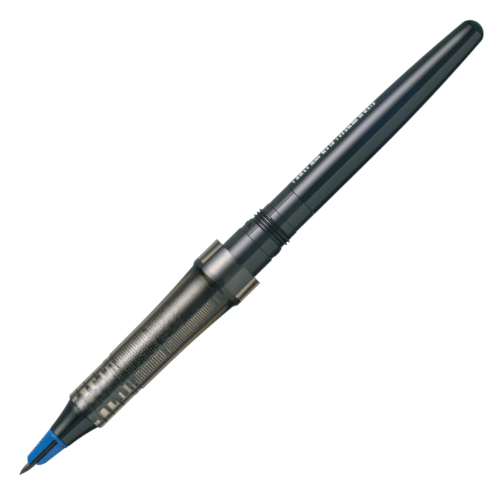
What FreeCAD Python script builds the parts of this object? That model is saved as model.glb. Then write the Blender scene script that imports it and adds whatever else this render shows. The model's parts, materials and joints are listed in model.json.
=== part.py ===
import FreeCAD, Part
import math
import os

# Nib pen refill unit: flexible blade nib, clear grip with ink collector, threaded connector, ink tank.
# Millimetres. +X runs along the pen towards the tank, +Y to the longer wing, +Z square to the blade's face.
# The origin is on the pen's axis, in the plane of the collar's rear face, where the barrel seats.
# Every station along X is measured from there, so the nib side is negative.

# Nib blade
NIB_POINT_X = -59.4
BLADE_ROOT_X = -48.95
BLADE_HALF_WIDTH = 0.67
BLADE_CROWN_RADIUS = 0.90
BLADE_HALF_THICKNESS = 0.35
BLADE_POINT_HALF_THICKNESS = 0.10
BLADE_THINNING_LENGTH = 3.00
BLADE_CENTRE_Y = 0.10
BLADE_POINT_Y = 0.24
BLADE_POINT_HALF_WIDTH = 0.07
BLADE_POINT_SETBACK = 0.10
SHORT_CHEEK = {"start_x": -57.60, "via": (-58.60, 0.55)}
LONG_CHEEK = {"start_x": -56.20, "via": (-58.20, -0.22)}
INK_SLIT_WIDTH = 0.10
INK_SLIT_DEPTH = 0.18
INK_SLIT_SETBACK = 1.50

# Nib holder: the two wings and the ring behind them
# In plan each wing has a rounded nose, one arc over its brow to its shoulder, and a straight side.
LONG_WING = {
    "front_x": -56.55,
    "nose_y": 0.75,
    "brow": (-56.13, 1.38),
    "shoulder": (-55.15, 1.83),
    "root_y": 2.50,
}
SHORT_WING = {
    "front_x": -55.60,
    "nose_y": 0.75,
    "brow": (-54.95, 1.30),
    "shoulder": (-54.10, 1.65),
    "root_y": 2.28,
}
WING_NOSE_ROUNDING = 0.12
WING_HALF_HEIGHT = 0.80
WING_CROWN_RADIUS = 7.00
WING_EDGE_RADIUS = 0.12
WING_LONG_EDGE = 2.50
WING_ROOT_RADIUS = 2.40
WING_SLOPE = 0.105
LIP_HALF_GAP = 0.52
CHANNEL_HALF_WIDTH = 0.74
CHANNEL_HALF_HEIGHT = 0.62
ROOT_POCKET_HALF_HEIGHT = 0.45
RING_FRONT_X = -49.42
RING_REAR_X = -48.78
RING_REAR_RADIUS = 2.50
HOLDER_TAIL_X = -45.60
HOLDER_TAIL_RADIUS = 1.75
RING_EDGE_BREAK = 0.08

# Nose cone
CONE_FRONT_X = -48.70
CONE_FRONT_RADIUS = 2.57
CONE_MID_X = -45.20
CONE_MID_RADIUS = 3.105
CONE_REAR_RADIUS = 3.90
CONE_NECK_X = -40.70
CONE_NECK_RADIUS = 2.90
CONE_STEM_X = -37.00
CONE_STEM_RADIUS = 1.60
CONE_EDGE_BREAK = 0.06

# Grip sleeve and its collar
SLEEVE_FRONT_X = -42.00
SLEEVE_MOUTH_RADIUS = 2.95
SLEEVE_FRONT_WALL = 0.35
SLEEVE_BORE_RADIUS = 3.65
SLEEVE_FRONT_RADIUS = 4.48
SLEEVE_NOSE_ROUNDING = 0.60
CAP_RIDGE_X = -32.45
CAP_RIDGE_WIDTH = 0.77
CAP_RIDGE_HEIGHT = 0.09
FINE_RIDGE_X = -31.38
FINE_RIDGE_WIDTH = 0.43
FINE_RIDGE_HEIGHT = 0.04
SLEEVE_STEP_X = -30.60
SLEEVE_STEP_RADIUS = 4.675
STEP_RAMP = 0.12
FLARE_START_X = -23.40
FLARE_START_RADIUS = 4.757
FLARE_MID_X = -15.20
FLARE_MID_RADIUS = 5.005
FLARE_END_X = -7.00
FLARE_END_RADIUS = 5.58
COLLAR_SHOULDER_X = -6.30
COLLAR_SHOULDER_RADIUS = 5.95
COLLAR_FRONT_X = -6.00
COLLAR_RADIUS = 6.02
COLLAR_EDGE_BREAK = 0.10
COLLAR_LIP_RADIUS = 5.05
POCKET_FLOOR_X = -5.20
POCKET_FLOOR_RADIUS = 5.20

# Parts inside the sleeve
FEED_RADIUS = 0.85
FEED_BORE_RADIUS = 0.88
NIB_FEED_FRONT_X = -48.65
PRESS_OVERLAP = 0.02
TIGHT_RIB_RADIUS = SLEEVE_BORE_RADIUS + PRESS_OVERLAP
FIN_RADIUS = 3.45
CARRIER_CORE_RADIUS = 2.00
CARRIER_FRONT_RIB = (-40.08, -39.80)
CARRIER_DISC = (-38.32, -37.60)
CARRIER_DISC_RIB = (-38.05, -37.83)
CARRIER_BEAD = (-36.54, -36.13)
CARRIER_BEAD_RADIUS = 3.30
CARRIER_COVE_X = -35.90
CARRIER_COVE_RADIUS = 2.75
CARRIER_NECK_RADIUS = 2.60
CARRIER_DRUM = (-35.74, -34.60)
CARRIER_DRUM_RIB = (-35.50, -35.24)
CARRIER_END_DISC_X = -33.95
CARRIER_REAR_X = -32.95
COMB_CORE_RADIUS = 1.55
FRONT_FINS_X = -32.25
FRONT_FIN_PITCH = 0.523
FRONT_FIN_COUNT = 18
FRONT_FIN_SHARE = 0.44
DIVIDER_FRONT_X = -22.80
DIVIDER_REAR_X = -21.90
DIVIDER_RADIUS = 3.53
REAR_FINS_X = -21.55
REAR_FIN_PITCH = 0.487
REAR_FIN_COUNT = 28
REAR_FIN_SHARE = 0.60
AIR_SLOT_WIDTH = 0.90
AIR_SLOT_FLOOR = 2.60
COMB_FLANGE_X = -7.60
COMB_PLUG_RADIUS = 2.90
COMB_PLUG_REAR_X = -1.50

# Connector
CONNECTOR_FRONT_X = -7.00
CONNECTOR_NOSE_RADIUS = 4.50
SPIGOT_RADIUS = 4.43
SPIGOT_LENGTH = 4.70
SPIGOT_EDGE_BREAK = 0.15
GROOVE_RADIUS = 4.26
GROOVE_REAR_X = 7.45
LUG_RADIUS = 4.40
LUG_HALF_ANGLE = 26.0
LUG_EDGE_BREAK = 0.15
UPPER_LUG = (5.90, 6.90)
LOWER_LUG = (5.50, 7.10)
THREAD_RELIEF_X = 7.85
THREAD_FRONT_X = 8.45
THREAD_PITCH = 0.75
THREAD_TURNS = 2.25
THREAD_START_ANGLE = 60.0
THREAD_ROOT_RADIUS = 3.98
THREAD_CREST_RADIUS = 4.35
THREAD_ROOT_OVERLAP = 0.12
THREAD_BASE_SHARE = 0.84
THREAD_FLAT_SHARE = 0.22
NECK_FRONT_X = 10.40
NECK_REAR_X = 11.90
NECK_RADIUS = 3.95
TAIL_FRONT_X = 12.05
TAIL_RADIUS = 3.84
TAIL_REAR_X = 16.80
TAIL_EDGE_BREAK = 0.05
CONNECTOR_BORE_RADIUS = 2.98
WEB_FRONT_X = -1.00
WEB_REAR_X = 1.00
TANK_SPIGOT_RADIUS = 3.05
TANK_SPIGOT_REAR_X = 22.00
TANK_SPIGOT_BORE = 2.20
TANK_SPIGOT_LEAD = 0.35
TANK_SPIGOT_LEAD_DROP = 0.25
VENT_LINE_WIDTH = 0.14
VENT_LINE_DEPTH = 0.10
VENT_LINE_ANGLE = 39.5

# Ink tube, tank and ink
INK_TUBE_RADIUS = 1.20
INK_TUBE_REAR_X = 24.00
TANK_FRONT_X = 16.85
TANK_RADIUS = 3.86
TANK_BORE_RADIUS = 3.10
TANK_MOUTH_LEAD = 0.15
TANK_EDGE_BREAK = 0.08
TANK_TAPER_X = 34.10
TANK_MID_X = 50.60
TANK_MID_RADIUS = 3.43
TANK_SHOULDER_X = 63.75
TANK_SHOULDER_RADIUS = 2.56
TANK_END_X = 65.60
TANK_WALL = TANK_RADIUS - TANK_BORE_RADIUS
INK_FRONT_X = 22.60
INK_POCKET_REAR_X = 24.60
INK_REAR_X = 57.00
INK_GAP = 0.05
INK_POCKET_RADIUS = 1.35

# Seals
SEAL_SECTION_RADIUS = 0.24
SEAL_GROOVE_WIDTH = 0.62
COMB_SEAL_X = -4.20
COMB_SEAL_RADIUS = CONNECTOR_BORE_RADIUS - 0.005
TANK_SEAL_X = 19.60
TANK_SEAL_RADIUS = TANK_BORE_RADIUS - 0.02

# Cutting shapes run this far past what they cut
OVERRUN = 1.0

AXIS_POINT = FreeCAD.Vector(0, 0, 0)
AXIS = FreeCAD.Vector(1, 0, 0)


def half_plane_point(place):
    """Point of an outline: station along X, radius along Z."""
    return FreeCAD.Vector(place[0], 0, place[1])


def outline_face(start, steps, point_of):
    """Closed face from a start point and steps; a step is a point, or (via, end) for an arc."""
    edges = []
    here = start
    for step in list(steps) + [start]:
        is_arc = isinstance(step[0], tuple)
        end = step[1] if is_arc else step
        if is_arc:
            edges.append(Part.Arc(point_of(here), point_of(step[0]), point_of(end)).toShape())
        elif end != here:
            edges.append(Part.LineSegment(point_of(here), point_of(end)).toShape())
        here = end
    return Part.Face(Part.Wire(edges))


def turned(start, *steps):
    """Solid of revolution about the pen's axis, from an outline of (x, radius) points."""
    return outline_face(start, steps, half_plane_point).revolve(AXIS_POINT, AXIS, 360)


def rod(front_x, rear_x, radius):
    """Plain cylinder on the pen's axis."""
    return Part.makeCylinder(radius, rear_x - front_x, FreeCAD.Vector(front_x, 0, 0), AXIS)


def block(front_x, rear_x, half_width, half_height, centre_y=0.0):
    """Box along the pen, centred on its middle plane."""
    corner = FreeCAD.Vector(front_x, centre_y - half_width, -half_height)
    return Part.makeBox(rear_x - front_x, 2 * half_width, 2 * half_height, corner)


def o_ring(x, outer_radius):
    """O-ring about the pen's axis that reaches outer_radius."""
    ring_radius = outer_radius - SEAL_SECTION_RADIUS
    return Part.makeTorus(ring_radius, SEAL_SECTION_RADIUS, FreeCAD.Vector(x, 0, 0), AXIS)


def seal_groove(x, seal_radius):
    """Ring of space for the O-ring that reaches seal_radius, to cut out of the plug that carries it."""
    front_x = x - SEAL_GROOVE_WIDTH / 2
    rear_x = x + SEAL_GROOVE_WIDTH / 2
    floor = seal_radius - 2 * SEAL_SECTION_RADIUS - 0.01
    return rod(front_x, rear_x, seal_radius + OVERRUN).cut(rod(front_x, rear_x, floor))


def plan_prism(start, steps, half_height):
    """Outline drawn in the X-Y plane, made half_height thick each way in Z."""
    face = outline_face(start, steps, lambda p: FreeCAD.Vector(p[0], p[1], -half_height))
    return face.extrude(FreeCAD.Vector(0, 0, 2 * half_height))


def side_prism(start, steps, half_width):
    """Outline drawn in the X-Z plane, made half_width thick each way in Y."""
    face = outline_face(start, steps, lambda p: FreeCAD.Vector(p[0], -half_width, p[1]))
    return face.extrude(FreeCAD.Vector(0, 2 * half_width, 0))


def crowned(shape, front_x, rear_x, radius, half_height, centre_y=0.0):
    """Gives both flat faces of a shape a crown along the pen, half_height from its middle plane."""
    for side in (-1, 1):
        centre = FreeCAD.Vector(front_x, centre_y, side * (radius - half_height))
        shape = shape.common(Part.makeCylinder(radius, rear_x - front_x, centre, AXIS))
    return shape


def nib_blade():
    """Lens-shaped blade, ground to a point on one side more than the other, with a slit on each face."""
    long_side_y = BLADE_CENTRE_Y - BLADE_HALF_WIDTH
    short_side_y = BLADE_CENTRE_Y + BLADE_HALF_WIDTH
    point_x = NIB_POINT_X + BLADE_POINT_SETBACK
    outline = plan_prism(
        (BLADE_ROOT_X, short_side_y),
        [
            (BLADE_ROOT_X, long_side_y),
            (LONG_CHEEK["start_x"], long_side_y),
            (LONG_CHEEK["via"], (point_x, BLADE_POINT_Y - BLADE_POINT_HALF_WIDTH)),
            ((NIB_POINT_X, BLADE_POINT_Y), (point_x, BLADE_POINT_Y + BLADE_POINT_HALF_WIDTH)),
            (SHORT_CHEEK["via"], (SHORT_CHEEK["start_x"], short_side_y)),
        ],
        BLADE_HALF_THICKNESS,
    )
    thin_from_x = NIB_POINT_X + BLADE_THINNING_LENGTH
    past_point_x = NIB_POINT_X - BLADE_POINT_SETBACK
    thinning = side_prism(
        (BLADE_ROOT_X, BLADE_HALF_THICKNESS),
        [
            (BLADE_ROOT_X, -BLADE_HALF_THICKNESS),
            (thin_from_x, -BLADE_HALF_THICKNESS),
            (past_point_x, -BLADE_POINT_HALF_THICKNESS),
            (past_point_x, BLADE_POINT_HALF_THICKNESS),
            (thin_from_x, BLADE_HALF_THICKNESS),
        ],
        BLADE_HALF_WIDTH + OVERRUN,
    )
    front_x = NIB_POINT_X - OVERRUN
    rear_x = BLADE_ROOT_X + OVERRUN
    blade = outline.common(thinning)
    blade = crowned(blade, front_x, rear_x, BLADE_CROWN_RADIUS, BLADE_HALF_THICKNESS, BLADE_CENTRE_Y)
    slit_front_x = NIB_POINT_X + INK_SLIT_SETBACK
    for side in (-1, 1):
        slit = block(slit_front_x, rear_x, INK_SLIT_WIDTH / 2, BLADE_HALF_THICKNESS, BLADE_CENTRE_Y)
        slit.translate(FreeCAD.Vector(0, 0, side * (2 * BLADE_HALF_THICKNESS - INK_SLIT_DEPTH)))
        blade = blade.cut(slit)
    return blade


def wing_outline(side, front_x, nose_y, brow, shoulder, root_y):
    """Plan of one wing, rounded at its front; side is +1 or -1 in Y."""
    rounding = WING_NOSE_ROUNDING
    near = side * LIP_HALF_GAP / 2
    rear_x = RING_FRONT_X + rounding
    nose_via = (front_x, side * (LIP_HALF_GAP + rounding))
    return plan_prism(
        (rear_x, near),
        [
            (front_x + rounding, near),
            (nose_via, (front_x + rounding / 2, side * nose_y)),
            ((brow[0], side * brow[1]), (shoulder[0], side * shoulder[1])),
            (rear_x, side * root_y),
        ],
        WING_HALF_HEIGHT,
    )


def nib_holder():
    """Ring with two wings that grip the blade's edges in a channel, and a tail for the nose cone."""
    front_x = LONG_WING["front_x"] - OVERRUN
    front_radius = WING_ROOT_RADIUS - WING_SLOPE * (RING_FRONT_X - front_x)
    root = (RING_FRONT_X, WING_ROOT_RADIUS)
    cone = turned((front_x, 0), (front_x, front_radius), root, (RING_FRONT_X, 0))
    plan = wing_outline(1, **LONG_WING).fuse(wing_outline(-1, **SHORT_WING))
    slot_rear_x = RING_FRONT_X - RING_EDGE_BREAK
    lip_gap = block(front_x, slot_rear_x, LIP_HALF_GAP, WING_ROOT_RADIUS)
    wings = crowned(cone.common(plan), front_x, RING_REAR_X, WING_CROWN_RADIUS, WING_HALF_HEIGHT)
    wings = rounded_wings(wings.cut(lip_gap))
    ring = turned(
        (RING_FRONT_X, 0),
        (RING_FRONT_X, WING_ROOT_RADIUS),
        (RING_REAR_X - RING_EDGE_BREAK, RING_REAR_RADIUS),
        (RING_REAR_X, RING_REAR_RADIUS - RING_EDGE_BREAK),
        (RING_REAR_X, HOLDER_TAIL_RADIUS),
        (HOLDER_TAIL_X, HOLDER_TAIL_RADIUS),
        (HOLDER_TAIL_X, 0),
    )
    half_width = CHANNEL_HALF_WIDTH
    channel = block(front_x, slot_rear_x, half_width, CHANNEL_HALF_HEIGHT, BLADE_CENTRE_Y)
    root_pocket = block(front_x, NIB_FEED_FRONT_X, half_width, ROOT_POCKET_HALF_HEIGHT, BLADE_CENTRE_Y)
    feed_bore = rod(NIB_FEED_FRONT_X, HOLDER_TAIL_X + OVERRUN, FEED_BORE_RADIUS)
    return wings.fuse(ring).cut(channel).cut(root_pocket).cut(feed_bore)


def rounded_wings(wings):
    """Rounds the long edges where each wing's crowned faces meet its outer side."""
    edges = []
    for edge in wings.Edges:
        box = edge.BoundBox
        outside = min(abs(box.YMin), abs(box.YMax)) > LIP_HALF_GAP + WING_EDGE_RADIUS
        on_face = min(abs(box.ZMin), abs(box.ZMax)) > WING_EDGE_RADIUS
        if outside and on_face and box.XLength > WING_LONG_EDGE:
            edges.append(edge)
    return wings.makeFillet(WING_EDGE_RADIUS, edges)


def nose_cone():
    """Trumpet-shaped cone with a neck through the sleeve's mouth and a stem into the nib carrier."""
    return turned(
        (CONE_FRONT_X, HOLDER_TAIL_RADIUS),
        (CONE_FRONT_X, CONE_FRONT_RADIUS - CONE_EDGE_BREAK),
        (CONE_FRONT_X + CONE_EDGE_BREAK, CONE_FRONT_RADIUS),
        ((CONE_MID_X, CONE_MID_RADIUS), (SLEEVE_FRONT_X - CONE_EDGE_BREAK, CONE_REAR_RADIUS)),
        (SLEEVE_FRONT_X, CONE_REAR_RADIUS),
        (SLEEVE_FRONT_X, CONE_NECK_RADIUS),
        (CONE_NECK_X, CONE_NECK_RADIUS),
        (CONE_NECK_X, CONE_STEM_RADIUS),
        (CONE_STEM_X, CONE_STEM_RADIUS),
        (CONE_STEM_X, FEED_BORE_RADIUS),
        (HOLDER_TAIL_X, FEED_BORE_RADIUS),
        (HOLDER_TAIL_X, HOLDER_TAIL_RADIUS),
    )


def ridge_steps(front_x, width, height, base_radius):
    """Outline steps of a low ridge with steep sides and a crowned top."""
    side = height * 0.93
    flank = width * 0.09
    return [
        (front_x, base_radius),
        (front_x + flank, base_radius + side),
        ((front_x + width / 2, base_radius + height), (front_x + width - flank, base_radius + side)),
        (front_x + width, base_radius),
    ]


def grip_sleeve():
    """Clear grip: mouth, fine ridges, step and flare outside; bore, connector seat and pocket inside."""
    rounding = SLEEVE_NOSE_ROUNDING
    bevel = rounding * (1 - math.sqrt(0.5))
    nose_via = (SLEEVE_FRONT_X + bevel, SLEEVE_FRONT_RADIUS - bevel)
    collar_bevel = COLLAR_EDGE_BREAK * (1 - math.sqrt(0.5))
    shoulder_via = ((COLLAR_SHOULDER_X + COLLAR_FRONT_X) / 2, COLLAR_RADIUS - 0.01)
    bore_front_x = SLEEVE_FRONT_X + SLEEVE_FRONT_WALL
    seat_radius = CONNECTOR_NOSE_RADIUS - PRESS_OVERLAP
    return turned(
        (SLEEVE_FRONT_X, SLEEVE_MOUTH_RADIUS),
        (SLEEVE_FRONT_X, SLEEVE_FRONT_RADIUS - rounding),
        (nose_via, (SLEEVE_FRONT_X + rounding, SLEEVE_FRONT_RADIUS)),
        *ridge_steps(CAP_RIDGE_X, CAP_RIDGE_WIDTH, CAP_RIDGE_HEIGHT, SLEEVE_FRONT_RADIUS),
        *ridge_steps(FINE_RIDGE_X, FINE_RIDGE_WIDTH, FINE_RIDGE_HEIGHT, SLEEVE_FRONT_RADIUS),
        (SLEEVE_STEP_X - STEP_RAMP, SLEEVE_FRONT_RADIUS),
        (SLEEVE_STEP_X, SLEEVE_STEP_RADIUS),
        (FLARE_START_X, FLARE_START_RADIUS),
        ((FLARE_MID_X, FLARE_MID_RADIUS), (FLARE_END_X, FLARE_END_RADIUS)),
        (COLLAR_SHOULDER_X, COLLAR_SHOULDER_RADIUS),
        (shoulder_via, (COLLAR_FRONT_X, COLLAR_RADIUS)),
        (-COLLAR_EDGE_BREAK, COLLAR_RADIUS),
        ((-collar_bevel, COLLAR_RADIUS - collar_bevel), (0.0, COLLAR_RADIUS - COLLAR_EDGE_BREAK)),
        (0.0, COLLAR_LIP_RADIUS),
        (POCKET_FLOOR_X, POCKET_FLOOR_RADIUS),
        (POCKET_FLOOR_X, seat_radius),
        (CONNECTOR_FRONT_X, seat_radius),
        (CONNECTOR_FRONT_X, SLEEVE_BORE_RADIUS),
        (bore_front_x, SLEEVE_BORE_RADIUS),
        (bore_front_x, SLEEVE_MOUTH_RADIUS),
    )


def disc_steps(front_x, rear_x, radius, core_radius, rib=None):
    """Outline steps of one disc on a core, with an optional (front, rear) tight rib."""
    steps = [(front_x, core_radius), (front_x, radius)]
    if rib:
        steps += [
            (rib[0], radius),
            (rib[0], TIGHT_RIB_RADIUS),
            (rib[1], TIGHT_RIB_RADIUS),
            (rib[1], radius),
        ]
    steps += [(rear_x, radius), (rear_x, core_radius)]
    return steps


def open_back(front_x, rear_x, core_radius):
    """Space under the pen's middle plane, outside a round core: discs cut with it are half discs."""
    corner = FreeCAD.Vector(front_x, -SLEEVE_BORE_RADIUS, -SLEEVE_BORE_RADIUS - PRESS_OVERLAP)
    depth = SLEEVE_BORE_RADIUS + PRESS_OVERLAP
    space = Part.makeBox(rear_x - front_x, 2 * SLEEVE_BORE_RADIUS, depth, corner)
    return space.cut(rod(front_x, rear_x, core_radius))


def nib_carrier():
    """Holder for the nose cone's stem: half discs on a core, and three round ribs tight in the bore."""
    core = CARRIER_CORE_RADIUS
    rib_front_x, rib_rear_x = CARRIER_FRONT_RIB
    bead_front_x, bead_rear_x = CARRIER_BEAD
    drum_front_x, drum_rear_x = CARRIER_DRUM
    round_ribs = [CARRIER_FRONT_RIB, CARRIER_DISC_RIB, CARRIER_DRUM_RIB]
    carrier = turned(
        (CONE_NECK_X, CONE_STEM_RADIUS),
        (CONE_NECK_X, FIN_RADIUS),
        (rib_front_x, FIN_RADIUS),
        (rib_front_x, TIGHT_RIB_RADIUS),
        (rib_rear_x, TIGHT_RIB_RADIUS),
        (rib_rear_x, core),
        *disc_steps(*CARRIER_DISC, FIN_RADIUS, core, CARRIER_DISC_RIB),
        (bead_front_x, core),
        (bead_front_x, CARRIER_BEAD_RADIUS),
        (bead_rear_x, CARRIER_BEAD_RADIUS),
        ((CARRIER_COVE_X, CARRIER_COVE_RADIUS), (drum_front_x, CARRIER_NECK_RADIUS)),
        *disc_steps(drum_front_x, drum_rear_x, FIN_RADIUS, core, CARRIER_DRUM_RIB)[1:],
        *disc_steps(CARRIER_END_DISC_X, CARRIER_REAR_X, FIN_RADIUS, core),
        (CARRIER_REAR_X, FEED_BORE_RADIUS),
        (CONE_STEM_X, FEED_BORE_RADIUS),
        (CONE_STEM_X, CONE_STEM_RADIUS),
    )
    open_from = [CONE_NECK_X] + [rib[1] for rib in round_ribs]
    open_to = [rib[0] for rib in round_ribs] + [CARRIER_REAR_X]
    for front_x, rear_x in zip(open_from, open_to):
        carrier = carrier.cut(open_back(front_x, rear_x, core))
    return carrier


def fin_row(first_x, pitch, count, share):
    """Outline steps of a row of equal thin fins, each as thick as a share of the pitch."""
    steps = []
    for number in range(count):
        front_x = first_x + number * pitch
        steps += disc_steps(front_x, front_x + pitch * share, FIN_RADIUS, COMB_CORE_RADIUS)
    return steps


def ink_collector():
    """Comb that takes up spare ink: two rows of half-round fins, a slotted divider, a sealed plug."""
    steps = [(CARRIER_REAR_X, COMB_CORE_RADIUS)]
    steps += fin_row(FRONT_FINS_X, FRONT_FIN_PITCH, FRONT_FIN_COUNT, FRONT_FIN_SHARE)
    steps += disc_steps(DIVIDER_FRONT_X, DIVIDER_REAR_X, DIVIDER_RADIUS, COMB_CORE_RADIUS)
    steps += fin_row(REAR_FINS_X, REAR_FIN_PITCH, REAR_FIN_COUNT, REAR_FIN_SHARE)
    steps += [(COMB_FLANGE_X, COMB_CORE_RADIUS), (COMB_FLANGE_X, FIN_RADIUS)]
    steps += [(CONNECTOR_FRONT_X, FIN_RADIUS), (CONNECTOR_FRONT_X, COMB_PLUG_RADIUS)]
    steps += [(COMB_PLUG_REAR_X, COMB_PLUG_RADIUS), (COMB_PLUG_REAR_X, FEED_BORE_RADIUS)]
    comb = turned((CARRIER_REAR_X, FEED_BORE_RADIUS), *steps)
    for front_x, rear_x in ((CARRIER_REAR_X, DIVIDER_FRONT_X), (DIVIDER_REAR_X, COMB_FLANGE_X)):
        comb = comb.cut(open_back(front_x, rear_x, COMB_CORE_RADIUS))
    corner = FreeCAD.Vector(DIVIDER_FRONT_X, -AIR_SLOT_WIDTH / 2, -AIR_SLOT_FLOOR - FIN_RADIUS)
    slot = Part.makeBox(DIVIDER_REAR_X - DIVIDER_FRONT_X, AIR_SLOT_WIDTH, FIN_RADIUS, corner)
    return comb.cut(slot).cut(seal_groove(COMB_SEAL_X, COMB_SEAL_RADIUS))


def thread_ridge():
    """Right-hand helical ridge of the barrel thread, about the X axis."""
    buried = THREAD_ROOT_RADIUS - THREAD_ROOT_OVERLAP
    base = THREAD_PITCH * THREAD_BASE_SHARE / 2
    flat = THREAD_PITCH * THREAD_FLAT_SHARE / 2
    length = THREAD_PITCH * THREAD_TURNS
    helix = Part.makeHelix(THREAD_PITCH, length, buried)
    corners = [(buried, -base), (THREAD_CREST_RADIUS, -flat), (THREAD_CREST_RADIUS, flat), (buried, base)]
    points = [FreeCAD.Vector(radius, 0, z) for radius, z in corners]
    section = Part.makePolygon(points + points[:1])
    ridge = Part.Wire(helix).makePipeShell([section], True, True)
    ridge.rotate(AXIS_POINT, FreeCAD.Vector(0, 1, 0), 90)
    ridge.rotate(AXIS_POINT, AXIS, THREAD_START_ANGLE)
    ridge.translate(FreeCAD.Vector(THREAD_FRONT_X, 0, 0))
    return ridge


def lug(side, front_x, rear_x):
    """Low lug on the connector, a part of a ring on one side in Y."""
    buried = GROOVE_RADIUS - LUG_EDGE_BREAK
    band = turned(
        (front_x, buried),
        (front_x, GROOVE_RADIUS),
        (front_x + LUG_EDGE_BREAK, LUG_RADIUS),
        (rear_x - LUG_EDGE_BREAK, LUG_RADIUS),
        (rear_x, GROOVE_RADIUS),
        (rear_x, buried),
    )
    reach = 2 * LUG_RADIUS
    spread = reach * math.tan(math.radians(LUG_HALF_ANGLE))
    corners = [(0, 0), (side * reach, spread), (side * reach, -spread), (0, 0)]
    points = [FreeCAD.Vector(front_x - OVERRUN, y, z) for y, z in corners]
    length = rear_x - front_x + 2 * OVERRUN
    wedge = Part.Face(Part.makePolygon(points)).extrude(FreeCAD.Vector(length, 0, 0))
    return band.common(wedge)


def connector():
    """Threaded connector: nose in the sleeve, barrel spigot, lugs, thread, tail and tank spigot."""
    body = turned(
        (CONNECTOR_FRONT_X, CONNECTOR_BORE_RADIUS),
        (CONNECTOR_FRONT_X, CONNECTOR_NOSE_RADIUS),
        (POCKET_FLOOR_X, CONNECTOR_NOSE_RADIUS),
        (0.0, SPIGOT_RADIUS),
        (SPIGOT_LENGTH, SPIGOT_RADIUS),
        (SPIGOT_LENGTH + SPIGOT_EDGE_BREAK, GROOVE_RADIUS),
        (GROOVE_REAR_X, GROOVE_RADIUS),
        (THREAD_RELIEF_X, THREAD_ROOT_RADIUS),
        (NECK_FRONT_X, THREAD_ROOT_RADIUS),
        (NECK_FRONT_X, NECK_RADIUS),
        (NECK_REAR_X, NECK_RADIUS),
        (TAIL_FRONT_X, TAIL_RADIUS),
        (TAIL_REAR_X - TAIL_EDGE_BREAK, TAIL_RADIUS),
        (TAIL_REAR_X, TAIL_RADIUS - TAIL_EDGE_BREAK),
        (TAIL_REAR_X, TANK_SPIGOT_RADIUS),
        (TANK_SPIGOT_REAR_X - TANK_SPIGOT_LEAD, TANK_SPIGOT_RADIUS),
        (TANK_SPIGOT_REAR_X, TANK_SPIGOT_RADIUS - TANK_SPIGOT_LEAD_DROP),
        (TANK_SPIGOT_REAR_X, TANK_SPIGOT_BORE),
        (WEB_REAR_X, TANK_SPIGOT_BORE),
        (WEB_REAR_X, INK_TUBE_RADIUS),
        (WEB_FRONT_X, INK_TUBE_RADIUS),
        (WEB_FRONT_X, CONNECTOR_BORE_RADIUS),
    )
    body = body.cut(seal_groove(TANK_SEAL_X, TANK_SEAL_RADIUS))
    body = body.fuse([thread_ridge(), lug(1, *UPPER_LUG), lug(-1, *LOWER_LUG)])
    groove_vent = vent_line(SPIGOT_LENGTH + SPIGOT_EDGE_BREAK, GROOVE_REAR_X, GROOVE_RADIUS)
    tail_vent = vent_line(NECK_FRONT_X, TAIL_REAR_X, TAIL_RADIUS)
    return body.cut(groove_vent).cut(tail_vent)


def vent_line(front_x, rear_x, radius):
    """Fine groove along the connector that lets air past the barrel."""
    corner = FreeCAD.Vector(front_x, -VENT_LINE_WIDTH / 2, radius - VENT_LINE_DEPTH)
    line = Part.makeBox(rear_x - front_x, VENT_LINE_WIDTH, OVERRUN, corner)
    line.rotate(AXIS_POINT, AXIS, -VENT_LINE_ANGLE)
    return line


def ink_tube():
    """Thin tube pressed in the connector's web, open to the ink at its rear end."""
    return rod(WEB_FRONT_X, INK_TUBE_REAR_X, INK_TUBE_RADIUS).cut(
        rod(WEB_FRONT_X, INK_TUBE_REAR_X, FEED_BORE_RADIUS)
    )


def tank():
    """Long tank with an open mouth, a tapered rear and a round closed end past a crisp shoulder."""
    cap_length = TANK_END_X - TANK_SHOULDER_X
    cap_radius = (TANK_SHOULDER_RADIUS**2 + cap_length**2) / (2 * cap_length)
    cap_centre_x = TANK_END_X - cap_radius
    shoulder_angle = math.asin(TANK_SHOULDER_RADIUS / cap_radius)

    def cap_point(radius, angle):
        return (cap_centre_x + radius * math.cos(angle), radius * math.sin(angle))

    inner_radius = cap_radius - TANK_WALL
    return turned(
        (TANK_FRONT_X, TANK_BORE_RADIUS + TANK_MOUTH_LEAD),
        (TANK_FRONT_X, TANK_RADIUS - TANK_EDGE_BREAK),
        (TANK_FRONT_X + TANK_EDGE_BREAK, TANK_RADIUS),
        (TANK_TAPER_X, TANK_RADIUS),
        ((TANK_MID_X, TANK_MID_RADIUS), (TANK_SHOULDER_X, TANK_SHOULDER_RADIUS)),
        (cap_point(cap_radius, shoulder_angle / 2), (TANK_END_X, 0.0)),
        (TANK_END_X - TANK_WALL, 0.0),
        (cap_point(inner_radius, shoulder_angle / 2), cap_point(inner_radius, shoulder_angle)),
        ((TANK_MID_X, TANK_MID_RADIUS - TANK_WALL), (TANK_TAPER_X, TANK_BORE_RADIUS)),
        (TANK_FRONT_X + TANK_MOUTH_LEAD, TANK_BORE_RADIUS),
    )


def ink_charge():
    """Ink in the tank, hollow at its front where the ink tube dips in."""
    room = TANK_WALL + INK_GAP
    pocket = INK_POCKET_RADIUS
    column = turned(
        (INK_FRONT_X, pocket),
        (INK_FRONT_X, TANK_RADIUS - room),
        (TANK_TAPER_X, TANK_RADIUS - room),
        ((TANK_MID_X, TANK_MID_RADIUS - room), (TANK_SHOULDER_X, TANK_SHOULDER_RADIUS - room)),
        (TANK_SHOULDER_X, 0.0),
        (INK_POCKET_REAR_X, 0.0),
        (INK_POCKET_REAR_X, pocket),
    )
    return column.cut(rod(INK_REAR_X, TANK_SHOULDER_X + OVERRUN, TANK_RADIUS))


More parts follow.
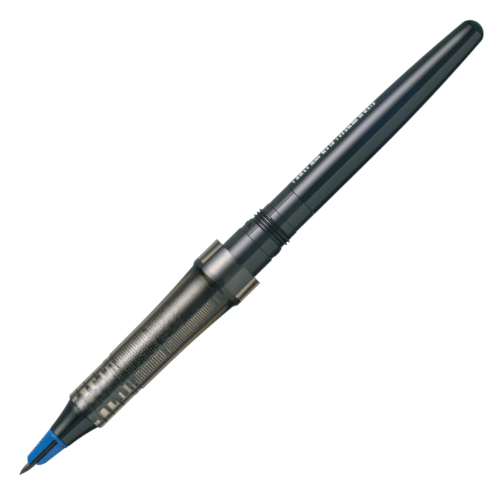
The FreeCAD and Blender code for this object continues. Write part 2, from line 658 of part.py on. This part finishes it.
PIECES = {
    "nib_blade": nib_blade,
    "nib_holder": nib_holder,
    "nib_feed": lambda: rod(NIB_FEED_FRONT_X, CARRIER_REAR_X - 0.05, FEED_RADIUS),
    "nose_cone": nose_cone,
    "grip_sleeve": grip_sleeve,
    "nib_carrier": nib_carrier,
    "ink_collector": ink_collector,
    "feed_wick": lambda: rod(CARRIER_REAR_X + 0.05, INK_TUBE_REAR_X - 0.3, FEED_RADIUS),
    "collector_seal": lambda: o_ring(COMB_SEAL_X, COMB_SEAL_RADIUS),
    "connector": connector,
    "tank_seal": lambda: o_ring(TANK_SEAL_X, TANK_SEAL_RADIUS),
    "ink_tube": ink_tube,
    "tank": tank,
    "ink_charge": ink_charge,
}

os.makedirs("parts", exist_ok=True)
for name, make in PIECES.items():
    piece = make()
    piece.exportStep("parts/" + name + ".step")
    print(name, "solids", len(piece.Solids), "valid", piece.isValid(), "mm3", round(piece.Volume, 2))
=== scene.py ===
import bmesh
import bpy
import json
import math
from mathutils import Matrix, Vector


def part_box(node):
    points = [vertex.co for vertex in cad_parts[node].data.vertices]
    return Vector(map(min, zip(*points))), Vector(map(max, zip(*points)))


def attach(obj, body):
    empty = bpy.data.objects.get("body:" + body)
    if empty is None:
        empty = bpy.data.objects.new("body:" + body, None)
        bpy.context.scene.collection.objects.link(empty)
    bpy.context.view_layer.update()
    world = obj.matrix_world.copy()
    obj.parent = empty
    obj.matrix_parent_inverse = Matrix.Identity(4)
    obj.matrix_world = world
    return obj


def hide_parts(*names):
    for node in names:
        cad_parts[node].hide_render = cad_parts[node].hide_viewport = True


# Nib pen refill unit. Metres, in the row frame: +X along the pen to the tank, +Y to the longer wing,
# +Z square to the nib blade. Angles round the pen are in degrees from +Z towards +Y.

MM = 0.001

# Camera: at the photograph's viewing angle, looking down on the pen from its longer wing's side
VIEW_ROLL = 44.50
VIEW_TILT_TO_WING = 10.0
VIEW_DISTANCE = 0.44
VIEW_WIDTH = 0.09703
SENSOR_WIDTH = 36.0
AIM_POINT = Vector((3.07, -0.02, 0.0)) * MM
CLIP_START = 0.01
CLIP_END = 20.0

# Soft light: curved panels round the pen, at these angles from the camera's direction
PANEL_RADIUS = 0.60
PANEL_HALF_LENGTH = 0.70
PANEL_COLUMNS = 48
PANEL_ROWS = 48
KEY_ANGLES = (1.0, 87.0)
KEY_CENTRE = 48.5
KEY_SPREADS = (15.4, 16.2, 16.4)
KEY_LENGTH_SPREAD = 0.21
KEY_STRENGTH = 11.0
KEY_TINT = (1.0, 0.965, 1.03)
KEY_GREEN_RISE = 1.6
KEY_END_GREEN = 0.14
RIM_ANGLES = (90.0, 150.0)
RIM_STEP_ANGLE = 108.0
RIM_STRENGTHS = (0.68, 0.5)
RIM_LENGTH_SPREAD = 0.25
RIM_TINT = (0.85, 1.0, 0.97)
FILL_ANGLES = (-29.0, -100.0)
FILL_STRENGTH = 1.62
FILL_SLOPE = 0.0071
FILL_LEVEL_ANGLE = -35.0
FILL_FAR_ANGLES = (-100.0, -150.0)
FILL_FAR_STRENGTHS = (0.38, 0.06)
FILL_FAR_FADE = 28.0
FILL_TINT = (0.77, 1.0, 0.98)
ROOM_COLOUR = (0.16, 0.36, 0.42)
WHITE = (1.0, 1.0, 1.0)
FLOOR_REACH = 3.0

# What clear parts let through: a bright patch behind the pen, as wide as this, in a dimmer surround
BACKLIGHT_ANGLE = 19.0
BACKLIGHT_EDGE = 11.0
BACKLIGHT_COLOUR = WHITE
SURROUND_COLOUR = (0.09, 0.11, 0.14)

# Share of a panel's light that is left where the panel is seen straight through clear parts
STRAIGHT_SHARE = 0.06

# Clear grip: what its plastic doesn't absorb, and how strongly it absorbs the rest, per metre
SMOKE_COLOUR = (0.375, 0.234, 0.0)
SMOKE_DENSITY = 640.0

# Moulded plastic: scales of its clouds, polish and flow ripple, in noise cycles per millimetre
CLOUD_SCALE = 0.6
POLISH_SCALE = 3.0
RIPPLE_SCALE = 1.2
POLISH_SPREAD = (0.8, 1.25)
RIPPLE_STRENGTH = 0.03
RIPPLE_HEIGHT = 0.01 * MM
PLASTIC_INDEX = 1.5

# Colours of the plastics, each with the deeper one it clouds into
NIB_COLOURS = (0.034, 0.032, 0.030), (0.044, 0.042, 0.039)
WING_COLOURS = (0.001, 0.094, 0.27), (0.001, 0.08, 0.23)
GLOSS_COLOURS = (0.004, 0.007, 0.0075), (0.003, 0.0055, 0.006)
CONE_COLOURS = (0.0025, 0.005, 0.006), (0.002, 0.004, 0.005)
CARRIER_COLOURS = (0.060, 0.060, 0.058), (0.048, 0.048, 0.046)
COMB_COLOURS = (0.15, 0.145, 0.138), (0.12, 0.116, 0.110)
TUBE_COLOURS = (0.5, 0.5, 0.47), (0.42, 0.42, 0.39)
CONNECTOR_COLOURS = (0.010, 0.0125, 0.013), (0.008, 0.0105, 0.011)
TANK_COLOURS = (0.003, 0.006, 0.007), (0.0025, 0.005, 0.006)

# Colours of the fibre, the rubber and the ink
FIBRE_COLOURS = (0.02, 0.025, 0.06), (0.05, 0.055, 0.10)
RUBBER_COLOURS = (0.012, 0.012, 0.012), (0.03, 0.03, 0.03)
INK_COLOURS = (0.002, 0.004, 0.02), (0.004, 0.008, 0.045)

# Connector: painted light on its seat inside the clear collar (a lighter grey standing in for light let in
# through the collar), and the roots of its thread
SEAT_PAINTED_LIGHT_COLOUR = (0.075, 0.085, 0.105)
SEAT_STATIONS = (-6.0, -0.3)
THREAD_STATIONS = (8.0, 10.35)
STATION_EDGE = 0.05
ROOT_RADII = (4.12, 4.28)
ROOT_GLOSS = 0.08
FULL_GLOSS = 0.5

# Tank: the stretch where the ink stands, and a row of plain printed dashes
INK_TINGE = (0.003, 0.007, 0.014)
INK_STATIONS = (32.6, 48.3)
INK_EDGE = 1.5
PRINT_COLOUR = (0.30, 0.31, 0.30)
PRINT_STATIONS = (18.2, 40.2)
PRINT_STATION_EDGE = 0.1
PRINT_ANGLES = (67.5, 88.0)
PRINT_ANGLE_EDGE = 0.8
DASH_SCALE = 1.3
DASH_EDGE = (0.47, 0.50)

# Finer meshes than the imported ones, turned from the same outlines
TURNED_SEGMENTS = 192
SMOOTH_ANGLE = math.radians(28.0)
EDGE_RADIUS = 0.03 * MM
SIDE_TOLERANCE = 2e-7

# Stretches of the object coordinates for the noise: even, and drawn out along the pen
EVEN = (1.0, 1.0, 1.0)
DRAWN_OUT = (0.12, 1.0, 1.0)

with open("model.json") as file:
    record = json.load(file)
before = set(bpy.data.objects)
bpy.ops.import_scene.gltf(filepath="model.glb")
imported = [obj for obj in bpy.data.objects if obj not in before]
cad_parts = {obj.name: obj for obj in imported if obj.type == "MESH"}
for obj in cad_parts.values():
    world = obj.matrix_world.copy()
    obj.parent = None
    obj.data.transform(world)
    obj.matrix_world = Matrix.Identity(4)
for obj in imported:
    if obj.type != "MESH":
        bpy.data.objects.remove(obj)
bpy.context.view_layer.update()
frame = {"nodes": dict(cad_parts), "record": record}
nodes = frame["nodes"]


# ---------------------------------------------------------------- shader helpers

def new_material(name):
    """A material with a Principled shader wired to its output."""
    material = bpy.data.materials.new(name)
    material.use_nodes = True
    tree = material.node_tree
    tree.nodes.clear()
    output = tree.nodes.new("ShaderNodeOutputMaterial")
    shader = tree.nodes.new("ShaderNodeBsdfPrincipled")
    tree.links.new(shader.outputs["BSDF"], output.inputs["Surface"])
    return material, tree, shader, output


def mapped(tree, stretch):
    """Object coordinates in millimetres, stretched by three factors."""
    coordinates = tree.nodes.new("ShaderNodeTexCoord")
    mapping = tree.nodes.new("ShaderNodeMapping")
    mapping.inputs["Scale"].default_value = [factor / MM for factor in stretch]
    tree.links.new(coordinates.outputs["Object"], mapping.inputs["Vector"])
    return mapping.outputs["Vector"]


def noise(tree, vector, scale, detail=3.0):
    """Noise from 0 to 1 over a vector."""
    node = tree.nodes.new("ShaderNodeTexNoise")
    node.inputs["Scale"].default_value = scale
    node.inputs["Detail"].default_value = detail
    tree.links.new(vector, node.inputs["Vector"])
    return node.outputs["Fac"]


def ranged(tree, value, low, high, from_low=0.3, from_high=0.7):
    """A value moved from one range to another."""
    node = tree.nodes.new("ShaderNodeMapRange")
    node.inputs["From Min"].default_value = from_low
    node.inputs["From Max"].default_value = from_high
    node.inputs["To Min"].default_value = low
    node.inputs["To Max"].default_value = high
    tree.links.new(value, node.inputs["Value"])
    return node.outputs["Result"]


def mixed(tree, factor, first, second):
    """A colour, or a link that carries one, mixed into a second colour by a factor."""
    node = tree.nodes.new("ShaderNodeMix")
    node.data_type = "RGBA"
    if isinstance(first, tuple):
        node.inputs[6].default_value = (*first, 1.0)
    else:
        tree.links.new(first, node.inputs[6])
    node.inputs[7].default_value = (*second, 1.0)
    tree.links.new(factor, node.inputs[0])
    return node.outputs[2]


def clouded(tree, pattern, colours):
    """Two colours mixed by a noise pattern."""
    return mixed(tree, ranged(tree, pattern, 0.0, 1.0), *colours)


def product(tree, first, second):
    """Two values multiplied."""
    node = tree.nodes.new("ShaderNodeMath")
    node.operation = "MULTIPLY"
    tree.links.new(first, node.inputs[0])
    tree.links.new(second, node.inputs[1])
    return node.outputs["Value"]


def between(tree, value, low, high, soft):
    """1 where a value lies between two limits, 0 outside, with soft ends."""
    rise = ranged(tree, value, 0.0, 1.0, low - soft, low + soft)
    fall = ranged(tree, value, 1.0, 0.0, high - soft, high + soft)
    return product(tree, rise, fall)


def round_the_pen(tree):
    """Station along the pen in millimetres, and angle round it in degrees from +Z towards +Y."""
    place = tree.nodes.new("ShaderNodeSeparateXYZ")
    tree.links.new(mapped(tree, EVEN), place.inputs["Vector"])
    turn = tree.nodes.new("ShaderNodeMath")
    turn.operation = "ARCTAN2"
    tree.links.new(place.outputs["Y"], turn.inputs[0])
    tree.links.new(place.outputs["Z"], turn.inputs[1])
    degrees = tree.nodes.new("ShaderNodeMath")
    degrees.operation = "DEGREES"
    tree.links.new(turn.outputs["Value"], degrees.inputs[0])
    return place.outputs["X"], degrees.outputs["Value"]


def bumped(tree, shader, height, strength, distance):
    """Bump from a height."""
    node = tree.nodes.new("ShaderNodeBump")
    node.inputs["Strength"].default_value = strength
    node.inputs["Distance"].default_value = distance
    tree.links.new(height, node.inputs["Height"])
    tree.links.new(node.outputs["Normal"], shader.inputs["Normal"])


def plastic_parts(name, colours, roughness, gloss=FULL_GLOSS):
    """Material, nodes and colour of injection moulded plastic: cloudy, unevenly polished, rippled."""
    material, tree, shader, _ = new_material(name)
    along = mapped(tree, DRAWN_OUT)
    colour = clouded(tree, noise(tree, mapped(tree, EVEN), CLOUD_SCALE), colours)
    tree.links.new(colour, shader.inputs["Base Color"])
    smoother, rougher = (roughness * share for share in POLISH_SPREAD)
    polish = ranged(tree, noise(tree, along, POLISH_SCALE), smoother, rougher)
    tree.links.new(polish, shader.inputs["Roughness"])
    bumped(tree, shader, noise(tree, along, RIPPLE_SCALE), RIPPLE_STRENGTH, RIPPLE_HEIGHT)
    shader.inputs["IOR"].default_value = PLASTIC_INDEX
    shader.inputs["Specular IOR Level"].default_value = gloss
    return material, tree, shader, colour


def moulded_plastic(name, colours, roughness, gloss=FULL_GLOSS):
    """Injection moulded plastic of one kind all over."""
    return plastic_parts(name, colours, roughness, gloss)[0]


# ---------------------------------------------------------------- materials

def smoked_clear():
    """Smoked clear plastic: polished skin over a brown-grey absorbing body."""
    material, tree, shader, output = new_material("smoked_clear")
    shader.inputs["Base Color"].default_value = (*WHITE, 1.0)
    shader.inputs["Transmission Weight"].default_value = 1.0
    shader.inputs["Roughness"].default_value = 0.0
    shader.inputs["IOR"].default_value = PLASTIC_INDEX
    body = tree.nodes.new("ShaderNodeVolumeAbsorption")
    body.inputs["Color"].default_value = (*SMOKE_COLOUR, 1.0)
    body.inputs["Density"].default_value = SMOKE_DENSITY
    tree.links.new(body.outputs["Volume"], output.inputs["Volume"])
    return material


def fibre(name):
    """Bonded fibre rod: streaks along the pen."""
    material, tree, shader, _ = new_material(name)
    strands = noise(tree, mapped(tree, (0.05, 1.0, 1.0)), 12.0, 5.0)
    tree.links.new(clouded(tree, strands, FIBRE_COLOURS), shader.inputs["Base Color"])
    shader.inputs["Roughness"].default_value = 0.85
    bumped(tree, shader, strands, 0.5, 0.02 * MM)
    return material


def rubber(name):
    """Matt black rubber with fine grain."""
    material, tree, shader, _ = new_material(name)
    grain = noise(tree, mapped(tree, EVEN), 14.0, 4.0)
    tree.links.new(clouded(tree, grain, RUBBER_COLOURS), shader.inputs["Base Color"])
    shader.inputs["Roughness"].default_value = 0.6
    bumped(tree, shader, grain, 0.3, 0.01 * MM)
    return material


def ink_liquid(name):
    """Blue-black liquid."""
    material, tree, shader, _ = new_material(name)
    depth = noise(tree, mapped(tree, (0.3, 1.0, 1.0)), 0.8)
    tree.links.new(clouded(tree, depth, INK_COLOURS), shader.inputs["Base Color"])
    shader.inputs["Roughness"].default_value = 0.03
    shader.inputs["IOR"].default_value = 1.34
    return material


def threaded_plastic():
    """Black plastic, matt in the roots of its thread, with painted light: greyer where it sits inside the
    clear collar, standing in for light let in through the collar.
    """
    material, tree, shader, plastic = plastic_parts("connector_black", CONNECTOR_COLOURS, 0.1)
    station, _ = round_the_pen(tree)
    # Painted light: the seat inside the clear collar is mixed to a lighter grey, standing in for light let
    # in through the collar
    seat_painted_light = between(tree, station, *SEAT_STATIONS, STATION_EDGE)
    tree.links.new(mixed(tree, seat_painted_light, plastic, SEAT_PAINTED_LIGHT_COLOUR), shader.inputs["Base Color"])
    across = tree.nodes.new("ShaderNodeVectorMath")
    across.operation = "LENGTH"
    tree.links.new(mapped(tree, (0.0, 1.0, 1.0)), across.inputs[0])
    in_root = ranged(tree, across.outputs["Value"], 1.0, 0.0, *ROOT_RADII)
    matt = product(tree, in_root, between(tree, station, *THREAD_STATIONS, STATION_EDGE))
    level = ranged(tree, matt, FULL_GLOSS, ROOT_GLOSS, 0.0, 1.0)
    tree.links.new(level, shader.inputs["Specular IOR Level"])
    return material


def tank_plastic():
    """Plastic that looks black, bluer where the ink stands, with a row of printed dashes."""
    material, tree, shader, plastic = plastic_parts("tank_dark", TANK_COLOURS, 0.06)
    station, angle = round_the_pen(tree)
    in_ink = between(tree, station, *INK_STATIONS, INK_EDGE)
    inked = mixed(tree, in_ink, plastic, INK_TINGE)
    dashes = noise(tree, mapped(tree, (1.0, 0.0, 0.0)), DASH_SCALE, 1.0)
    stripes = ranged(tree, dashes, 0.0, 1.0, *DASH_EDGE)
    row = product(
        tree,
        between(tree, station, *PRINT_STATIONS, PRINT_STATION_EDGE),
        between(tree, angle, *PRINT_ANGLES, PRINT_ANGLE_EDGE),
    )
    printed = mixed(tree, product(tree, stripes, row), inked, PRINT_COLOUR)
    tree.links.new(printed, shader.inputs["Base Color"])
    return material


MATERIALS = {
    "nib_plastic": moulded_plastic("nib_plastic", NIB_COLOURS, 0.4, gloss=0.3),
    "wing_blue": moulded_plastic("wing_blue", WING_COLOURS, 0.2, gloss=0.25),
    "black_gloss": moulded_plastic("black_gloss", GLOSS_COLOURS, 0.08),
    "smoked_clear": smoked_clear(),
    "comb_black": moulded_plastic("comb_black", CARRIER_COLOURS, 0.3),
    "feed_fibre": fibre("feed_fibre"),
    "seal_rubber": rubber("seal_rubber"),
    "tube_plastic": moulded_plastic("tube_plastic", TUBE_COLOURS, 0.35),
    "tank_dark": tank_plastic(),
    "ink": ink_liquid("ink"),
}

# Pieces whose finish differs a little from the others of their slot
NODE_MATERIALS = {
    "ink_collector": moulded_plastic("collector_black", COMB_COLOURS, 0.6, gloss=0.0),
    "connector": threaded_plastic(),
    "nose_cone": moulded_plastic("cone_black", CONE_COLOURS, 0.08),
}


def paint_nodes():
    """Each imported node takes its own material, or that of its slot in the record."""
    for part in frame["record"]["subparts"]:
        mesh = nodes[part["node"]].data
        mesh.materials.clear()
        mesh.materials.append(NODE_MATERIALS.get(part["node"], MATERIALS[part["material_slot"]]))


# ---------------------------------------------------------------- turned pieces

def outline(node):
    """Points (x, radius) of a turned node's outline, in order, and whether it starts on the axis."""
    mesh = nodes[node].data
    links = {}
    for edge in mesh.edges:
        ends = [mesh.vertices[index].co for index in edge.vertices]
        keys = [(round(end.x, 6), round(end.z, 6)) for end in ends]
        on_side = all(abs(end.y) < SIDE_TOLERANCE and end.z > -SIDE_TOLERANCE for end in ends)
        if on_side and keys[0] != keys[1] and max(keys[0][1], keys[1][1]) > 0:
            links.setdefault(keys[0], set()).add(keys[1])
            links.setdefault(keys[1], set()).add(keys[0])
    on_axis = sorted(key for key in links if len(links[key]) == 1)
    point = on_axis[0] if on_axis else min(links)
    path = [point]
    seen = {point}
    while True:
        nexts = sorted(key for key in links[point] if key not in seen)
        if not nexts:
            return path, bool(on_axis)
        point = nexts[0]
        seen.add(point)
        path.append(point)


def turned_mesh(name, path, is_open):
    """Mesh of an outline turned round the pen's axis; an outline that isn't open is a closed loop."""
    vertices = []
    rings = []
    for x, radius in path:
        if radius <= 0:
            rings.append([len(vertices)] * TURNED_SEGMENTS)
            vertices.append((x, 0.0, 0.0))
            continue
        rings.append(range(len(vertices), len(vertices) + TURNED_SEGMENTS))
        for step in range(TURNED_SEGMENTS):
            angle = 2 * math.pi * step / TURNED_SEGMENTS
            vertices.append((x, radius * math.sin(angle), radius * math.cos(angle)))
    pairs = list(zip(rings, rings[1:]))
    if not is_open:
        pairs.append((rings[-1], rings[0]))
    faces = []
    for here, there in pairs:
        for step in range(TURNED_SEGMENTS):
            after = (step + 1) % TURNED_SEGMENTS
            corners = [here[step], here[after], there[after], there[step]]
            faces.append(list(dict.fromkeys(corners)))
    mesh = bpy.data.meshes.new(name)
    mesh.from_pydata(vertices, [], faces)
    return mesh


def turned_piece(name, node, body, slot):
    """The node's own outline turned again with many more segments, smooth, with softened edges."""
    mesh = turned_mesh(name, *outline(node))
    mesh.materials.append(NODE_MATERIALS.get(node, MATERIALS[slot]))
    piece = bpy.data.objects.new(name, mesh)
    bpy.context.scene.collection.objects.link(piece)
    face_outwards(piece)
    soften(piece)
    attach(piece, body)
    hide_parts(node)


def face_outwards(piece):
    """Turns the faces of a closed mesh outwards and shades it smooth except at real edges."""
    work = bmesh.new()
    work.from_mesh(piece.data)
    bmesh.ops.recalc_face_normals(work, faces=work.faces)
    work.to_mesh(piece.data)
    work.free()
    piece.data.shade_smooth()
    piece.data.set_sharp_from_angle(angle=SMOOTH_ANGLE)


def soften(piece):
    """Small rounding on the sharp edges."""
    bevel = piece.modifiers.new("edge_rounding", "BEVEL")
    bevel.width = EDGE_RADIUS
    bevel.segments = 2
    bevel.limit_method = "ANGLE"
    bevel.angle_limit = SMOOTH_ANGLE
    bevel.harden_normals = True


# ---------------------------------------------------------------- stage

def view_axes():
    """Camera's right, up and backward directions in the row frame."""
    tilt = math.radians(VIEW_TILT_TO_WING)
    back = Vector((0.0, math.sin(tilt), math.cos(tilt)))
    along = Vector((1.0, 0.0, 0.0))
    across = back.cross(along)
    roll = math.radians(VIEW_ROLL)
    right = math.cos(roll) * along - math.sin(roll) * across
    up = math.sin(roll) * along + math.cos(roll) * across
    return right, up, back


def add_camera():
    """Camera at the photograph's angle."""
    right, up, back = view_axes()
    camera = bpy.data.cameras.new("camera")
    camera.sensor_width = SENSOR_WIDTH
    camera.lens = SENSOR_WIDTH * VIEW_DISTANCE / VIEW_WIDTH
    camera.clip_start = CLIP_START
    camera.clip_end = CLIP_END
    holder = bpy.data.objects.new("camera", camera)
    bpy.context.scene.collection.objects.link(holder)
    turn = Matrix((right, up, back)).transposed().to_4x4()
    holder.matrix_world = Matrix.Translation(AIM_POINT + VIEW_DISTANCE * back) @ turn
    bpy.context.scene.camera = holder


def key_glow(angle, x):
    """Light of the key: brightest along its middle, red fading soonest, and greener at its ends."""
    ends = math.exp(-0.5 * (x / KEY_LENGTH_SPREAD) ** 2)
    glow = []
    for spread, tint in zip(KEY_SPREADS, KEY_TINT):
        across = (angle - KEY_CENTRE) / spread
        glow.append(KEY_STRENGTH * tint * ends * math.exp(-0.5 * across * across))
    glow[1] *= 1.0 + min(KEY_END_GREEN, KEY_GREEN_RISE * x * x)
    return glow


def rim_glow(angle, x):
    """Light of the strip beyond the key light."""
    near, far = RIM_STRENGTHS
    ends = math.exp(-0.5 * (x / RIM_LENGTH_SPREAD) ** 2)
    strength = ends * (near if angle < RIM_STEP_ANGLE else far)
    return [strength * tint for tint in RIM_TINT]


def fill_glow(angle, x):
    """Light of the reflector on the short wing's side."""
    strength = FILL_STRENGTH * (1.0 + (angle - FILL_LEVEL_ANGLE) * FILL_SLOPE)
    return [strength * tint for tint in FILL_TINT]


def fill_far_glow(angle, x):
    """Light of the dim strip beyond the reflector, fading away from it."""
    near, far = FILL_FAR_STRENGTHS
    fade = min(1.0, (FILL_FAR_ANGLES[0] - angle) / FILL_FAR_FADE)
    return [(near + (far - near) * fade) * tint for tint in FILL_TINT]


def panel_strength(tree):
    """Full light, but only a share of it where the panel itself is seen straight through clear parts."""
    path = tree.nodes.new("ShaderNodeLightPath")
    unscattered = ranged(tree, path.outputs["Diffuse Depth"], 1.0, 0.0, 0.0, 1.0)
    unreflected = ranged(tree, path.outputs["Glossy Depth"], 1.0, 0.0, 0.0, 1.0)
    straight = product(tree, path.outputs["Is Transmission Ray"], product(tree, unscattered, unreflected))
    return ranged(tree, straight, 1.0, STRAIGHT_SHARE, 0.0, 1.0)


def glowing(name):
    """A material that only gives light, with its tree and its emission node."""
    material = bpy.data.materials.new(name)
    material.use_nodes = True
    tree = material.node_tree
    tree.nodes.clear()
    output = tree.nodes.new("ShaderNodeOutputMaterial")
    emission = tree.nodes.new("ShaderNodeEmission")
    emission.inputs["Strength"].default_value = 1.0
    tree.links.new(emission.outputs["Emission"], output.inputs["Surface"])
    return material, tree, emission


def panel_mesh(name, angles, glow):
    """Curved sheet round the pen's axis, with the colour of its light at every corner of its grid."""
    first, last = angles
    vertices = []
    values = []
    for row in range(PANEL_ROWS + 1):
        x = PANEL_HALF_LENGTH * (2 * row / PANEL_ROWS - 1)
        for column in range(PANEL_COLUMNS + 1):
            angle = first + (last - first) * column / PANEL_COLUMNS
            turn = math.radians(angle + VIEW_TILT_TO_WING)
            vertices.append((x, PANEL_RADIUS * math.sin(turn), PANEL_RADIUS * math.cos(turn)))
            values += [*glow(angle, x), 1.0]
    faces = []
    width = PANEL_COLUMNS + 1
    for row in range(PANEL_ROWS):
        for column in range(PANEL_COLUMNS):
            corner = row * width + column
            faces.append((corner, corner + 1, corner + width + 1, corner + width))
    mesh = bpy.data.meshes.new(name)
    mesh.from_pydata(vertices, [], faces)
    attribute = mesh.attributes.new("glow", "FLOAT_COLOR", "POINT")
    attribute.data.foreach_set("color", values)
    return mesh


def add_panel(name, angles, glow, through_clear):
    """Curved light panel round the pen's axis; angles are from the camera's direction."""
    mesh = panel_mesh(name, angles, glow)
    material, tree, emission = glowing(name)
    tree.links.new(panel_strength(tree), emission.inputs["Strength"])
    level = tree.nodes.new("ShaderNodeAttribute")
    level.attribute_name = "glow"
    tree.links.new(level.outputs["Color"], emission.inputs["Color"])
    mesh.materials.append(material)
    panel = bpy.data.objects.new(name, mesh)
    bpy.context.scene.collection.objects.link(panel)
    panel.visible_camera = False
    panel.visible_transmission = through_clear
    panel.visible_shadow = False


def add_floor():
    """Plain pale floor that the collar and the tank rest on."""
    collar_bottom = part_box("grip_sleeve")[0].z
    rests = [v.co for v in nodes["tank"].data.vertices if v.co.z < 0]
    slope = min((point.z - collar_bottom) / point.x for point in rests)
    corners = []
    for x_side, y_side in ((-1, -1), (1, -1), (1, 1), (-1, 1)):
        x = x_side * FLOOR_REACH
        corners.append((x, y_side * FLOOR_REACH, collar_bottom + slope * x))
    mesh = bpy.data.meshes.new("floor")
    mesh.from_pydata(corners, [], [(0, 1, 2, 3)])
    mesh.materials.append(glowing("floor_white")[0])
    floor = bpy.data.objects.new("floor", mesh)
    bpy.context.scene.collection.objects.link(floor)
    floor.visible_glossy = False
    floor.visible_transmission = False


def background(tree, colour):
    """Background shader of one colour."""
    node = tree.nodes.new("ShaderNodeBackground")
    node.inputs["Color"].default_value = (*colour, 1.0)
    node.inputs["Strength"].default_value = 1.0
    return node


def backlight(tree):
    """Background for light that came through clear parts: bright straight behind the pen, dim round it."""
    coordinates = tree.nodes.new("ShaderNodeTexCoord")
    facing = tree.nodes.new("ShaderNodeVectorMath")
    facing.operation = "DOT_PRODUCT"
    facing.inputs[1].default_value = -view_axes()[2]
    tree.links.new(coordinates.outputs["Generated"], facing.inputs[0])
    fade = tree.nodes.new("ShaderNodeMapRange")
    fade.interpolation_type = "SMOOTHSTEP"
    fade.inputs["From Min"].default_value = math.cos(math.radians(BACKLIGHT_ANGLE + BACKLIGHT_EDGE))
    fade.inputs["From Max"].default_value = math.cos(math.radians(BACKLIGHT_ANGLE))
    tree.links.new(facing.outputs["Value"], fade.inputs["Value"])
    node = background(tree, BACKLIGHT_COLOUR)
    light = mixed(tree, fade.outputs["Result"], SURROUND_COLOUR, BACKLIGHT_COLOUR)
    tree.links.new(light, node.inputs["Color"])
    return node


def add_room():
    """White behind the floor, a backlight seen through clear parts, and a dim room for reflections."""
    world = bpy.data.worlds.new("room")
    world.use_nodes = True
    tree = world.node_tree
    tree.nodes.clear()
    path = tree.nodes.new("ShaderNodeLightPath")
    shader = background(tree, ROOM_COLOUR)
    choices = (
        ("Is Transmission Ray", backlight(tree)),
        ("Is Camera Ray", background(tree, WHITE)),
    )
    for ray, node in choices:
        choose = tree.nodes.new("ShaderNodeMixShader")
        tree.links.new(path.outputs[ray], choose.inputs[0])
        tree.links.new(shader.outputs[0], choose.inputs[1])
        tree.links.new(node.outputs[0], choose.inputs[2])
        shader = choose
    output = tree.nodes.new("ShaderNodeOutputWorld")
    tree.links.new(shader.outputs[0], output.inputs["Surface"])
    bpy.context.scene.world = world


add_camera()
add_room()
add_floor()
add_panel("key_panel", KEY_ANGLES, key_glow, through_clear=True)
add_panel("rim_panel", RIM_ANGLES, rim_glow, through_clear=False)
add_panel("fill_panel", FILL_ANGLES, fill_glow, through_clear=True)
add_panel("fill_far_panel", FILL_FAR_ANGLES, fill_far_glow, through_clear=False)

paint_nodes()
turned_piece("sleeve_shell", "grip_sleeve", "grip_unit", "smoked_clear")
turned_piece("cone_shell", "nose_cone", "grip_unit", "black_gloss")
turned_piece("tank_shell", "tank", "tank", "tank_dark")

scene = bpy.context.scene
scene.view_settings.view_transform = "Standard"
scene.view_settings.look = "None"
scene.view_settings.exposure = 0.0
scene.view_settings.gamma = 1.0
